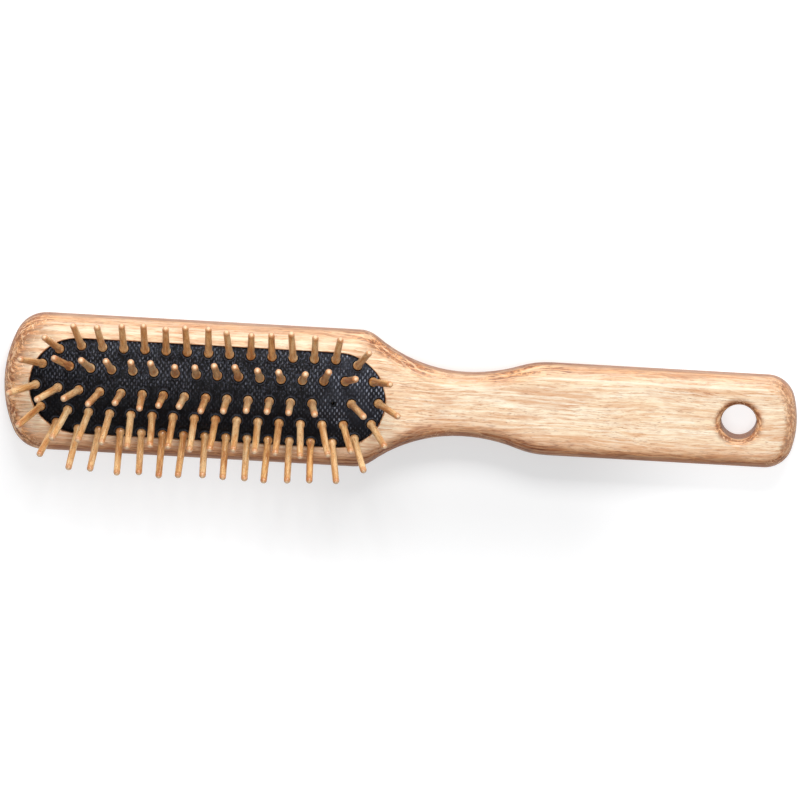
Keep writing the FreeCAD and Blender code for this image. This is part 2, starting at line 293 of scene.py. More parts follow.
# ---- node graphs -------------------------------------------------------------------------
class Graph:
    """Short way to write a material's node graph."""

    def __init__(self, name):
        self.material = bpy.data.materials.new(name)
        self.material.use_nodes = True
        self.tree = self.material.node_tree
        self.tree.nodes.clear()

    def add(self, kind, settings=None, **inputs):
        node = self.tree.nodes.new("ShaderNode" + kind)
        for key, value in (settings or {}).items():
            setattr(node, key, value)
        for key, value in inputs.items():
            self.put(node.inputs[key.replace("_", " ")], value)
        return node

    def put(self, socket, value):
        if isinstance(value, bpy.types.Node):
            value = value.outputs[0]
        if isinstance(value, bpy.types.NodeSocket):
            self.tree.links.new(value, socket)
        else:
            socket.default_value = value

    def math(self, operation, a, b=0.0):
        node = self.tree.nodes.new("ShaderNodeMath")
        node.operation = operation
        self.put(node.inputs[0], a)
        self.put(node.inputs[1], b)
        return node.outputs[0]

    def scaled(self, vector, scale):
        node = self.tree.nodes.new("ShaderNodeVectorMath")
        node.operation = "MULTIPLY"
        self.put(node.inputs[0], vector)
        self.put(node.inputs[1], scale)
        return node.outputs[0]

    def plus(self, a, b):
        node = self.tree.nodes.new("ShaderNodeVectorMath")
        node.operation = "ADD"
        self.put(node.inputs[0], a)
        self.put(node.inputs[1], b)
        return node.outputs[0]

    def noise(self, vector, scale, detail=4.0, roughness=0.55, distortion=0.0):
        node = self.add("TexNoise", Vector=vector, Scale=scale, Detail=detail, Roughness=roughness,
                        Distortion=distortion)
        return node.outputs["Fac"]

    def wander(self, vector, scale, detail, reach):
        """Offset that drifts smoothly from place to place, up to half of reach each way."""
        drift = self.add("TexNoise", Vector=self.scaled(vector, scale), Scale=1.0, Detail=detail)
        return self.scaled(self.plus(drift.outputs["Color"], (-0.5, -0.5, -0.5)), reach)

    def distance(self, x, y):
        squares = self.math("ADD", self.math("POWER", x, 2.0), self.math("POWER", y, 2.0))
        return self.math("SQRT", squares)

    def nudged(self, value, noise, amount):
        """The value with a noise of that amount added, so its steps get a ragged edge."""
        return self.math("ADD", value, self.math("MULTIPLY", noise, amount))

    def step(self, value, low, high, to_low=0.0, to_high=1.0):
        """Smooth step: to_low at low, to_high at high. Low may be the larger of the two."""
        node = self.add("MapRange", {"interpolation_type": "SMOOTHSTEP"}, Value=value)
        self.put(node.inputs["From Min"], low)
        self.put(node.inputs["From Max"], high)
        self.put(node.inputs["To Min"], to_low)
        self.put(node.inputs["To Max"], to_high)
        return node.outputs[0]

    def mix(self, factor, a, b):
        node = self.tree.nodes.new("ShaderNodeMix")
        node.data_type = "RGBA"
        self.put(node.inputs["Factor"], factor)
        for socket, value in ((node.inputs[6], a), (node.inputs[7], b)):
            self.put(socket, (*value, 1.0) if isinstance(value, tuple) and len(value) == 3 else value)
        return node.outputs[2]

    def bump(self, height, strength, distance):
        return self.add("Bump", Height=height, Strength=strength, Distance=distance).outputs[0]

    def finish(self, **inputs):
        shader = self.add("BsdfPrincipled", **inputs)
        out = self.add("OutputMaterial")
        self.tree.links.new(shader.outputs[0], out.inputs["Surface"])
        return self.material


def colour(red, green, blue):
    """Scene-linear colour from screen values of 0 to 255."""
    return tuple(((c / 255 + 0.055) / 1.055) ** 2.4 for c in (red, green, blue))


FLAT_CREAM = colour(254, 239, 210)
FLAT_PEACH = colour(251, 228, 193)
FLAT_TAN = colour(233, 188, 146)
FLAT_BROWN = colour(206, 144, 100)
FLAT_PALE = colour(255, 246, 224)
FLECK_BROWN = colour(158, 92, 58)
RIM_LIGHT = colour(238, 176, 120)
RIM_DARK = colour(182, 110, 68)
RIM_DEEP = colour(108, 60, 42)
RIM_PAINTED_SHADE = colour(158, 98, 64)
RIM_PALE = colour(250, 214, 174)
PIN_PALE = colour(253, 224, 176)
PIN_CREAM = colour(255, 238, 198)
PIN_GOLD = colour(242, 186, 116)
PIN_TAN = colour(232, 174, 108)
PIN_BROWN = colour(180, 108, 56)
PIN_FLECK = colour(104, 60, 34)
PIN_TIP = colour(190, 118, 74)
WEAVE_BLACK = colour(5, 6, 9)
WEAVE_NAVY = colour(17, 18, 24)
WEAVE_LINT_AND_SHEEN = colour(70, 74, 88)
WEAVE_FLOAT_GLINT = colour(172, 180, 198)
WEAVE_CREST_HIGHLIGHT = colour(64, 67, 76)
WEAVE_GAP_SHADE = colour(3, 3, 4)
WEAVE_PAINTED_LIGHT = colour(40, 42, 50)
RUBBER_BLACK = colour(20, 20, 22)
RUBBER_BLOOM = colour(40, 40, 42)
FLOOR_GREY = (0.5, 0.5, 0.5)
FLOOR_GREY_SPOT = (0.52, 0.52, 0.52)
FLOOR_LIGHT = (0.985, 0.99, 1.0, 1.0)
SHEEN_BLUE = (0.72, 0.8, 1.0, 1.0)


# ---- materials; relief is the depth of the bumps ------------------------------------------
BOARD_RELIEF = 0.07 * MM
PIN_RELIEF = 0.06 * MM
WEAVE_RELIEF = 0.09 * MM
RUBBER_RELIEF = 0.05 * MM


class Board:
    """Places, directions and grain noises on the board that its tones are mixed from."""

    def __init__(self, g):
        raw = g.scaled(g.add("TexCoord").outputs["Object"], (1 / MM, 1 / MM, 1 / MM))
        spot = g.add("SeparateXYZ", Vector=raw)
        normal = g.add("SeparateXYZ", Vector=g.add("NewGeometry").outputs["Normal"])
        self.x, self.y = spot.outputs["X"], spot.outputs["Y"]
        self.normal_x = g.math("ABSOLUTE", normal.outputs["X"])
        self.normal_y = normal.outputs["Y"]
        self.leaning = g.math("SUBTRACT", 1.0, g.math("ABSOLUTE", normal.outputs["Z"]))
        place = g.plus(g.plus(raw, g.wander(raw, *GRAIN_SWAY)), g.wander(raw, *GRAIN_SHAKE))
        self.grain = {}
        for name, (scale, *shape) in BOARD_NOISES.items():
            self.grain[name] = g.noise(g.scaled(place, scale), 1.0, *shape)
        scale, *shape = PATCH_NOISE
        self.grain["patches"] = g.noise(g.scaled(raw, scale), 1.0, *shape)
        self.uneven = g.math("SUBTRACT", self.grain["mottle"], 0.5)
        narrowing = g.step(self.x, NARROWING_FROM, NARROWING_TO, HEAD_HALF_WIDTH, NECK_HALF_WIDTH)
        widening = g.step(self.x, WIDENING_FROM, WIDENING_TO, 0.0, HANDLE_WIDENING)
        self.half_width = g.math("ADD", narrowing, widening)


def flat_tone(g, board):
    """Cream flats with tan bands, pale streaks and fine brown dashes; painted shade along the -Y edge."""
    grain = board.grain
    tone = g.mix(g.step(grain["broad"], 0.38, 0.62), FLAT_CREAM, FLAT_PEACH)
    tone = g.mix(g.step(grain["band"], 0.48, 0.64, 0, 0.7), tone, FLAT_TAN)
    tone = g.mix(g.step(grain["streak"], 0.5, 0.66, 0, 0.8), tone, FLAT_TAN)
    tone = g.mix(g.step(grain["patches"], 0.5, 0.66, 0, 0.35), tone, FLAT_BROWN)
    tone = g.mix(g.step(grain["fine"], 0.52, 0.68, 0, 0.75), tone, FLAT_BROWN)
    tone = g.mix(g.step(grain["streak"], 0.47, 0.36, 0, 0.75), tone, FLAT_PALE)
    crowded = g.step(grain["crowd"], 0.42, 0.6, 0.1, 0.75)
    tone = g.mix(g.math("MULTIPLY", g.step(grain["flecks"], 0.56, 0.68), crowded), tone, FLECK_BROWN)
    # painted shade: the flats darken to tan and brown towards the -Y edge, with the grain's streaks and
    # flecks in it
    low_edge_shade = g.mix(g.step(grain["streak"], 0.42, 0.58), FLAT_TAN, FLAT_BROWN)
    low_edge_shade = g.mix(g.step(grain["flecks"], 0.5, 0.64, 0, 0.75), low_edge_shade, FLECK_BROWN)
    from_low_edge = g.nudged(g.math("ADD", board.half_width, board.y), board.uneven, LOW_BAND_RAGGED)
    return g.mix(g.step(from_low_edge, LOW_BAND_FROM, LOW_BAND_TO, 0, 0.85), tone, low_edge_shade)


def rim_tone(g, board):
    """Browned wood of the rounded edges: dark dashes along the grain, a few pale layers."""
    grain = board.grain
    tone = g.mix(g.step(grain["mottle"], 0.36, 0.62), RIM_LIGHT, RIM_DARK)
    tone = g.mix(g.step(grain["streak"], 0.5, 0.62, 0, 0.75), tone, RIM_DEEP)
    tone = g.mix(g.step(grain["flecks"], 0.48, 0.6, 0, 0.85), tone, RIM_DEEP)
    return g.mix(g.step(grain["layers"], 0.52, 0.6, 0, 0.55), tone, RIM_PALE)


def scorch_tone(g, board):
    """Browned end grain: dark and pale layers under short pale scratches."""
    grain = board.grain
    tone = g.mix(g.step(grain["mottle"], 0.36, 0.62), RIM_LIGHT, RIM_DARK)
    tone = g.mix(g.step(grain["flecks"], 0.5, 0.64, 0, 0.75), tone, RIM_DEEP)
    tone = g.mix(g.step(grain["layers"], 0.5, 0.42, 0, 0.55), tone, RIM_DEEP)
    tone = g.mix(g.step(grain["layers"], 0.55, 0.6, 0, 0.6), tone, RIM_PALE)
    return g.mix(g.step(grain["scratch"], 0.56, 0.66, 0, 0.8), tone, RIM_PALE)


def brown_edges(g, board, tone, rim, under):
    """Browns the rounded edges all round, the wood's own toasting, and paints shade on those that face -Y.
    """
    roll = g.step(g.nudged(board.leaning, board.uneven, 0.12), 0.0, 0.3, 0.0, 0.55)
    # painted shade: the rim tone and the darker under tone on the edges that face -Y; the browned rolls
    # all round are the wood's own toasting
    low_side = g.step(board.normal_y, -0.04, -0.3)
    low_roll = g.step(g.nudged(board.leaning, board.uneven, 0.1), -0.01, 0.16, 0, 0.95)
    tone = g.mix(g.math("MAXIMUM", roll, g.math("MULTIPLY", low_roll, low_side)), tone, rim)
    tone = g.mix(g.math("MULTIPLY", low_side, g.step(board.leaning, 0.02, 0.36, 0, 0.75)), tone, under)
    shoulder = g.math("MULTIPLY", g.step(board.normal_x, 0.01, 0.08), g.step(board.leaning, 0.0, 0.06))
    scratched = g.step(board.grain["scratch"], 0.57, 0.64, 0, 0.75)
    tone = g.mix(g.math("MULTIPLY", shoulder, scratched), tone, RIM_PALE)
    return g.mix(g.step(g.nudged(board.leaning, board.uneven, 0.4), -0.06, 0.1, 0, 0.3), tone, FLAT_BROWN)


def brown_ends(g, board, tone, scorch):
    """Browns a band inside the head end's arc, and the end grain of head and handle."""
    from_arc_centre = g.distance(g.math("SUBTRACT", board.x, HEAD_END_ARC_X), board.y)
    inward = g.nudged(g.math("SUBTRACT", HEAD_END_ARC, from_arc_centre), board.uneven, HEAD_BAND_RAGGED)
    on_head = g.step(board.x, HEAD_END_ARC_X, HEAD_END_ARC_X - HEAD_BAND_FADE, 0, 0.93)
    band = g.math("MULTIPLY", g.step(inward, HEAD_BAND_FROM, HEAD_BAND_TO), on_head)
    end_grain = g.step(g.nudged(board.normal_x, board.uneven, 0.35), 0.05, 0.4)
    end_grain = g.math("MULTIPLY", end_grain, g.step(board.x, HANDLE_END_FROM, HANDLE_END_TO, 0.95, 0.6))
    return g.mix(g.math("MAXIMUM", band, end_grain), tone, scorch)


def brown_flanks(g, board, tone, rim, under):
    """Browns both sides where the outline curves in to the neck, with pale lines of cut layers; on the -Y
    side the browning is wider and darker, which is painted shade.
    """
    from_neck = g.math("ABSOLUTE", g.math("SUBTRACT", board.x, NECK_X))
    near_neck = g.math("MULTIPLY", g.step(from_neck, FLANK_FROM, FLANK_FULL),
                       g.step(from_neck, FLANK_END, FLANK_FADE))
    from_side = g.math("SUBTRACT", board.half_width, g.math("ABSOLUTE", board.y))
    # painted shade: the flank's browning reaches further in on the -Y side
    wider = g.step(board.y, FLANK_LOW_SIDE, FLANK_HIGH_SIDE, -FLANK_WIDER_BELOW, 0.0)
    ragged = g.math("ADD", g.nudged(from_side, board.uneven, FLANK_RAGGED), wider)
    flank = g.math("MULTIPLY", near_neck, g.step(ragged, FLANK_WIDTH, FLANK_CORE, 0, 0.85))
    wavy = g.nudged(from_side, board.grain["patches"], FLANK_RING_WAVE)
    rings = g.math("SINE", g.math("MULTIPLY", wavy, 2 * math.pi / FLANK_RING_STEP))
    tone = g.mix(flank, tone, g.mix(g.step(rings, 0.35, 0.95, 0, 0.6), rim, RIM_PALE))
    # painted shade on the -Y side of the flanks
    low_side = g.step(board.y, FLANK_HIGH_SIDE, FLANK_LOW_SIDE, 0, 0.75)
    return g.mix(g.math("MULTIPLY", flank, low_side), tone, under)


def brown_hole(g, board, tone, scorch, hole):
    """Browns a ring round the hanging hole."""
    from_hole = g.distance(g.math("SUBTRACT", board.x, hole[0] / MM), board.y)
    from_hole = g.nudged(from_hole, board.uneven, HOLE_BAND_RAGGED)
    return g.mix(g.step(from_hole, HOLE_BAND_FROM, HOLE_BAND_TO, 0, 0.75), tone, scorch)


def arris_highlight(g, board, tone):
    """A painted highlight: a pale line where the flat turns into the straight +Y edges, which face the key
    light.
    """
    line = g.math("MULTIPLY", g.step(board.leaning, 0.004, 0.012), g.step(board.leaning, 0.05, 0.025))
    line = g.math("MULTIPLY", line, g.step(board.normal_y, 0.06, 0.12, 0, 0.55))
    line = g.math("MULTIPLY", line, g.step(board.normal_x, 0.05, 0.01))
    return g.mix(line, tone, FLAT_PALE)


def board_wood(hole):
    """Toasted beech: cream flats with fine streaks, browned at the rounded edges, ends and hole; painted
    shade on the -Y side and a painted highlight along the +Y edges.
    """
    g = Graph("board_beech")
    board = Board(g)
    grain = board.grain
    rim = rim_tone(g, board)
    scorch = scorch_tone(g, board)
    # painted shade for the rounded edges that face -Y
    under = g.mix(g.step(grain["streak"], 0.46, 0.6), RIM_PAINTED_SHADE, RIM_DEEP)
    tone = brown_edges(g, board, flat_tone(g, board), rim, under)
    tone = brown_ends(g, board, tone, scorch)
    tone = brown_flanks(g, board, tone, rim, under)
    tone = brown_hole(g, board, tone, scorch, hole)
    # painted highlight along the +Y edges
    tone = arris_highlight(g, board, tone)
    tone = g.mix(g.step(board.leaning, 0.5, 0.95, 0, 0.6), tone, RIM_DEEP)
    rough = g.step(grain["band"], 0.3, 0.7, 0.42, 0.6)
    height = g.nudged(g.math("MULTIPLY", grain["fine"], 0.6), grain["flecks"], 0.5)
    return g.finish(Base_Color=tone, Roughness=rough, Normal=g.bump(height, 0.45, BOARD_RELIEF),
                    Specular_IOR_Level=0.35, Coat_Weight=0.06, Coat_Roughness=0.35)


def pin_wood():
    """Polished beech dowel: grain runs along each pin, every pin has its own shade, and a highlight is
    painted at each tip.
    """
    g = Graph("pin_beech")
    place = g.add("Attribute", {"attribute_name": "pin_place"}).outputs["Vector"]
    shade = g.add("Attribute", {"attribute_name": "pin_shade"}).outputs["Fac"]
    height = g.add("Attribute", {"attribute_name": "pin_height"}).outputs["Fac"]
    broad = g.noise(g.scaled(place, (0.9, 0.9, 0.12)), 1.0, 3.0, 0.6)
    grain = g.noise(g.scaled(place, (3.2, 3.2, 0.4)), 1.0, 4.0, 0.65)
    flecks = g.noise(g.scaled(place, (6.0, 6.0, 1.4)), 1.0, 2.0, 0.5)
    light = g.mix(shade, PIN_PALE, PIN_GOLD)
    dark = g.mix(shade, PIN_TAN, PIN_BROWN)
    tone = g.mix(g.step(broad, 0.36, 0.66), light, dark)
    tone = g.mix(g.step(grain, 0.52, 0.7, 0, 0.6), tone, PIN_BROWN)
    tone = g.mix(g.step(grain, 0.46, 0.3, 0, 0.55), tone, PIN_CREAM)
    tone = g.mix(g.step(flecks, 0.58, 0.7, 0, 0.65), tone, PIN_FLECK)
    tone = g.mix(g.step(height, FOOT_SHADE_END, FOOT_SHADE_FULL, 0, 0.4), tone, PIN_BROWN)
    from_tip = g.math("SUBTRACT", PIN_HEIGHT, height)
    tone = g.mix(g.step(from_tip, TIP_BROWN_FROM, TIP_BROWN_FULL, 0, 0.6), tone, PIN_TIP)
    # painted highlight: a cream dot at each pin's tip
    tone = g.mix(g.step(from_tip, TIP_HIGHLIGHT_FROM, 0.0, 0, 0.5), tone, PIN_CREAM)
    rough = g.step(grain, 0.3, 0.7, 0.26, 0.42)
    relief = g.bump(g.nudged(grain, flecks, 0.6), 0.4, PIN_RELIEF)
    return g.finish(Base_Color=tone, Roughness=rough, Normal=relief, Coat_Weight=0.5, Coat_Roughness=0.12)


def weave_floats(g, place):
    """Mask of the staggered floats of the weave, each with its own brightness."""
    split = g.add("SeparateXYZ", Vector=place)
    across = g.math("DIVIDE", split.outputs["X"], WEAVE_ACROSS)
    column = g.math("FLOOR", across)
    odd = g.math("MODULO", g.math("ABSOLUTE", column), 2.0)
    along = g.nudged(g.math("DIVIDE", split.outputs["Y"], WEAVE_ALONG), odd, 0.5)
    cell = g.add("CombineXYZ", X=column, Y=g.math("FLOOR", along), Z=0.0)
    dice = g.add("TexWhiteNoise", {"noise_dimensions": "3D"}, Vector=cell).outputs["Value"]
    u = g.math("ABSOLUTE", g.math("SUBTRACT", g.math("FRACT", across), 0.5))
    v = g.math("ABSOLUTE", g.math("SUBTRACT", g.math("FRACT", along), 0.5))
    squares = g.math("ADD", g.math("POWER", g.math("MULTIPLY", u, FLOAT_TAPER_ACROSS), 2.0),
                     g.math("POWER", g.math("MULTIPLY", v, FLOAT_TAPER_ALONG), 2.0))
    return g.step(squares, 1.2, 0.3), g.step(dice, 0.1, 1.0, 0.35, 1.0)


def textile():
    """Black woven facing: short staggered floats over a near-black ground; glints painted on the floats,
    and painted light on the +Y half and near the neck.
    """
    g = Graph("black_textile")
    place = g.add("Attribute", {"attribute_name": "weave_place"}).outputs["Vector"]
    place = g.plus(place, g.wander(place, *WEAVE_WANDER))
    split = g.add("SeparateXYZ", Vector=place)
    floats, brightness = weave_floats(g, place)
    patch = g.noise(place, 0.11, 3.0, 0.6)
    fuzz = g.noise(place, 2.4, 3.0, 0.6)
    lint = g.noise(g.scaled(place, (1.9, 1.2, 1.9)), 1.0, 3.0, 0.6)

    # painted light: glints on the floats, on the +Y half and near the neck
    at_neck = g.math("MULTIPLY", g.step(split.outputs["X"], *LIT_NEAR_NECK_X),
                     g.step(split.outputs["Y"], *LIT_NEAR_NECK_Y, 0.3))
    upper = g.step(split.outputs["Y"], *LIT_UPPER_Y, 0.06, 0.36)
    glint = g.math("MULTIPLY", floats, brightness)
    glint = g.math("MULTIPLY", glint, g.step(patch, 0.42, 0.58, 0.05, 1.0))
    glint = g.math("MULTIPLY", glint, g.step(fuzz, 0.25, 0.55, 0.45, 1.0))
    glint = g.math("MULTIPLY", glint, g.math("MAXIMUM", at_neck, upper))

    fuzzy = g.math("MULTIPLY", g.step(fuzz, 0.35, 0.7), g.step(patch, 0.3, 0.6, 0.3, 1.0))
    ground = g.mix(fuzzy, WEAVE_BLACK, WEAVE_NAVY)
    # painted light: the ground lightens near the neck
    ground = g.mix(g.math("MULTIPLY", at_neck, 0.7), ground, WEAVE_PAINTED_LIGHT)
    # lint specks, real fibres, with painted light making them stronger towards +Y
    specks = g.math("MULTIPLY", g.step(lint, 0.52, 0.66), g.step(split.outputs["Y"], *LINT_SHEEN_Y, 0.2, 1.0))
    tone = g.mix(glint, g.mix(specks, ground, WEAVE_LINT_AND_SHEEN), WEAVE_FLOAT_GLINT)

    # painted highlight on each ring's crest and painted shade in the gap between pin and ring
    from_pin = g.add("Attribute", {"attribute_name": "pin_distance"}).outputs["Fac"]
    crest_place, gap_place = RING_CREST / MM, RING_GAP / MM
    from_crest = g.math("ABSOLUTE", g.math("SUBTRACT", from_pin, crest_place))
    crest = g.step(from_crest, CREST_OUTSIDE, CREST_FULL)
    tone = g.mix(g.math("MULTIPLY", crest, 0.7), tone, WEAVE_CREST_HIGHLIGHT)
    tone = g.mix(g.step(from_pin, crest_place - GAP_INSIDE_CREST, gap_place, 0, 0.94), tone, WEAVE_GAP_SHADE)
    relief = g.bump(g.nudged(floats, fuzz, 0.6), 0.7, WEAVE_RELIEF)
    rough = g.nudged(0.52, crest, -0.18)
    return g.finish(Base_Color=tone, Roughness=rough, Normal=relief, Specular_IOR_Level=0.13,
                    Sheen_Weight=0.015, Sheen_Roughness=0.4, Sheen_Tint=SHEEN_BLUE)


def rubber():
    """Matt black rubber with a faint moulded grain."""
    g = Graph("black_rubber")
    place = g.scaled(g.add("TexCoord").outputs["Object"], (1 / MM, 1 / MM, 1 / MM))
    grain = g.noise(place, 3.0, 4.0, 0.6)
    bloom = g.noise(place, 0.25, 3.0, 0.6)
    tone = g.mix(g.step(bloom, 0.4, 0.65), RUBBER_BLACK, RUBBER_BLOOM)
    return g.finish(Base_Color=tone, Roughness=g.step(grain, 0.3, 0.7, 0.6, 0.8),
                    Normal=g.bump(grain, 0.3, RUBBER_RELIEF))


def floor_paint():
    """White sweep: mostly its own light, a painted glow graded by place, so only soft pale shadows show,
    mostly near the neck.
    """
    g = Graph("pale_floor")
    raw = g.add("TexCoord").outputs["Object"]
    tone = g.mix(g.noise(g.scaled(raw, (40, 40, 40)), 1.0, 3.0), FLOOR_GREY, FLOOR_GREY_SPOT)
    spot = g.add("SeparateXYZ", Vector=raw)
    # painted light: the floor's glow, graded by place
    glow = g.step(spot.outputs["X"], *FLOOR_GLOW_HANDLE_X, FLOOR_GLOW, FLOOR_GLOW_HANDLE_END)
    for axis, start, full in FLOOR_LIFTED:
        glow = g.math("ADD", glow, g.step(spot.outputs[axis], start, full, 0, FLOOR_GLOW_LIFT))
    return g.finish(Base_Color=tone, Roughness=0.9, Emission_Color=FLOOR_LIGHT, Emission_Strength=glow)


# ---- pieces ------------------------------------------------------------------------------
def wear(obj, material):
    obj.data.materials.clear()
    obj.data.materials.append(material)


def add_attribute(obj, name, values):
    """Gives every vertex of a piece its own number or vector, for the materials."""
    kind, field = ("FLOAT_VECTOR", "vector") if values.ndim == 2 else ("FLOAT", "value")
    data = obj.data.attributes.new(name, kind, "POINT").data
    data.foreach_set(field, values.astype(np.float32).ravel())


def square_to(direction):
    """Two unit directions square to each other and to the given one."""
    side = np.cross(direction, (1.0, 0.0, 0.0))
    side /= np.linalg.norm(side)
    return side, np.cross(direction, side)


def dress_pins(nodes, material, dice):
    """Gives every pin its own grain and shade, and returns seat and direction of each pin."""
    pins = []
    for name, node in nodes.items():
        if not name.startswith("pin"):
            continue
        wear(node, material)
        co = points_of(node)
        place = np.zeros_like(co)
        shade = np.zeros(len(co))
        height = np.zeros(len(co))
        for members in islands(node):
            tip, direction = pin_axis(co[members])
            seat = face.seat(tip, direction)
            side, other = square_to(direction)
            local = co[members] - seat
            offset = dice.uniform(-PIN_GRAIN_SPREAD, PIN_GRAIN_SPREAD, 3)
            place[members] = np.stack([local @ side, local @ other, local @ direction], 1) / MM + offset
            shade[members] = dice.beta(*PIN_SHADE_BETA)
            height[members] = local @ direction / MM
            pins.append((seat, direction))
        add_attribute(node, "pin_place", place)
        add_attribute(node, "pin_height", height)
        add_attribute(node, "pin_shade", shade)
    return pins


def stadium_loop(spine, radius):
    """Closed loop of points round the opening's shape; every radius gives the same number."""
    straight = int(round(2 * spine / RIM_STEP))
    turn = int(round(math.pi * face.radius / RIM_STEP))
    points = []
    for side in (1, -1):
        for i in range(straight):
            points.append((side * spine * (2 * i / straight - 1), side * radius))
        for i in range(turn):
            angle = math.pi / 2 - math.pi * i / turn
            points.append((side * (spine + radius * math.cos(angle)), side * radius * math.sin(angle)))
    return np.array(points)


def from_spine(points):
    """Distance of points from the cushion's spine line, seen from above."""
    past_end = np.maximum(np.abs(points[:, 0]) - face.spine, 0)
    return np.hypot(past_end, points[:, 1])


def from_axis(points, pin):
    """Distance of points from a pin's axis."""
    seat, direction = pin
    away = points - seat
    return np.linalg.norm(away - np.outer(away @ direction, direction), axis=1)


def circle_on_face(pin, radii, drop=0.0):
    """Points round a pin, radii away from its axis, on the face lowered by drop."""
    seat, direction = pin
    side, other = square_to(direction)
    turn = np.arange(len(radii)) * (2 * math.pi / len(radii))
    points = seat + np.outer(radii * np.cos(turn), side) + np.outer(radii * np.sin(turn), other)
    for _ in range(CIRCLE_STEPS):
        short = face.height(points[:, 0], points[:, 1]) - drop - points[:, 2]
        points += np.outer(short / direction[2], direction)
    return points


def vent_radii():
    """Outline of the torn vent: a small star."""
    between = (VENT_OUTER + VENT_INNER) / 2
    return np.array([VENT_OUTER, between, VENT_INNER, between] * VENT_POINTS)


def vent_axis():
    """Where the vent goes through the face, and the face's normal there."""
    place = np.array([[VENT_X, 0.0]])
    return face.on(place)[0], face.normal(place)[0]


def even_field(step):
    """Staggered points over the whole cushion, seen from above."""
    rows = np.arange(-face.radius, face.radius, step * math.sqrt(0.75))
    columns = np.arange(-face.half_length, face.half_length, step)
    points = [(x + step / 2 * (i % 2), y) for i, y in enumerate(rows) for x in columns]
    return np.array(points)


def triangulate(rim, holes, loose):
    """Triangles over the rim's inside, without the holes; returns the faces over all points in order."""
    points = np.concatenate([rim] + holes + [loose]) / MM
    edges = []
    first = 0
    for loop in [rim] + holes:
        edges += [(first + i, first + (i + 1) % len(loop)) for i in range(len(loop))]
        first += len(loop)
    made = delaunay_2d_cdt([Vector(p) for p in points], edges, [], 0, MERGE_DISTANCE / MM, False)
    assert len(made[0]) == len(points)
    faces = np.array(made[2])
    centres = points[faces].mean(1)
    keep = np.ones(len(faces), bool)
    for hole in holes:
        keep &= ~inside_loop(centres, hole / MM)
    return faces[keep]


def inside_loop(places, loop):
    """Which places lie inside a closed loop, by counting crossings of its edges."""
    inside = np.zeros(len(places), bool)
    x, y = places[:, 0], places[:, 1]
    for (ax, ay), (bx, by) in zip(loop, np.roll(loop, -1, 0)):
        if ay == by:
            continue
        spans = (ay > y) != (by > y)
        inside ^= spans & (x < ax + (bx - ax) * (y - ay) / (by - ay))
    return inside


def cloth_swell(pins):
    """How far air pressure swells the facing between pins: grid x, grid y, swell along the normal."""
    columns = int(2 * face.half_length / CLOTH_STEP)
    rows = int(2 * face.radius / CLOTH_STEP)
    xs = np.linspace(-face.half_length, face.half_length, columns)
    ys = np.linspace(-face.radius, face.radius, rows)
    flat = np.stack(np.meshgrid(xs, ys, indexing="ij"), -1).reshape(-1, 2)
    rest = face.on(flat)
    held = from_spine(flat) > face.radius - HELD_RIM
    for pin in pins:
        held |= from_axis(rest, pin) < HELD_PIN
    faces = []
    for i in range(columns - 1):
        for j in range(rows - 1):
            a = i * rows + j
            faces.append((a, a + rows, a + rows + 1, a + 1))
    sheet = make_mesh("cloth_trial", rest * CLOTH_SCALE, faces)
    group = sheet.vertex_groups.new(name="held")
    group.add([int(i) for i in np.flatnonzero(held)], 1.0, "REPLACE")
    cloth = sheet.modifiers.new("cloth", "CLOTH")
    cloth.settings.vertex_group_mass = "held"
    cloth.settings.use_pressure = True
    cloth.settings.uniform_pressure_force = CLOTH_PRESSURE
    cloth.settings.shrink_min = CLOTH_SLACK
    cloth.settings.effector_weights.gravity = 0.0
    cloth.point_cache.frame_end = CLOTH_FRAMES
    scene = bpy.context.scene
    for number in range(1, CLOTH_FRAMES + 1):
        scene.frame_set(number)
    swollen = sheet.evaluated_get(bpy.context.evaluated_depsgraph_get())
    swell = ((points_of(swollen) / CLOTH_SCALE - rest) * face.normal(flat)).sum(1)
    bpy.data.objects.remove(sheet)
    scene.frame_set(1)
    swell[from_spine(flat) > face.radius] = 0
    return xs, ys, swell.reshape(columns, rows)


def finer(values):
    """Twice as fine a row of values by quadratic B-spline subdivision along the first axis."""
    near_first = 0.75 * values[:-1] + 0.25 * values[1:]
    near_second = 0.25 * values[:-1] + 0.75 * values[1:]
    return np.stack([near_first, near_second], 1).reshape((-1,) + values.shape[1:])


def swell_at(points, swell):
    """Swell of the facing at points, smoothly read from the cloth grid."""
    xs, ys, grid = swell
    for _ in range(SWELL_REFINEMENTS):
        xs, ys, grid = finer(xs), finer(ys), finer(finer(grid).T).T
    column = np.clip((points[:, 0] - xs[0]) / (xs[-1] - xs[0]), 0, LAST_CELL) * (len(xs) - 1)
    row = np.clip((points[:, 1] - ys[0]) / (ys[-1] - ys[0]), 0, LAST_CELL) * (len(ys) - 1)
    i, j = column.astype(int), row.astype(int)
    u, v = column - i, row - j
    low = grid[i, j] * (1 - v) + grid[i, j + 1] * v
    high = grid[i + 1, j] * (1 - v) + grid[i + 1, j + 1] * v
    return low * (1 - u) + high * u


def grommet(distance):
    """Height of the raised ring round a pin, and of the dimple the pin's foot pulls into the sheet."""
    ring = GROMMET_HEIGHT * np.exp(-((distance - GROMMET_RADIUS) / GROMMET_WIDTH) ** 2)
    return ring - DIMPLE_DEPTH * np.exp(-(distance / DIMPLE_RADIUS) ** 4)


def rings_round(pins):
    """Closely set rings of points round every pin, every other one turned by half a step."""
    rings = []
    for pin in pins:
        for number, radius in enumerate(PIN_RING_RADII):
            ring = circle_on_face(pin, np.full(PIN_RING_POINTS, radius * MM))[:, :2]
            rings.append(ring if number % 2 else (ring + np.roll(ring, 1, 0)) / 2)
    return np.concatenate(rings)


def field_between(pins):
    """Even points over the face, clear of the pins' rings and of the vent."""
    field = even_field(SHEET_STEP)
    points = face.on(field)
    clear = np.hypot(field[:, 0] - VENT_X, field[:, 1]) > VENT_OUTER + SHEET_STEP / 2
    for pin in pins:
        clear &= from_axis(points, pin) > PIN_CLEAR_RADIUS
    return field[clear]


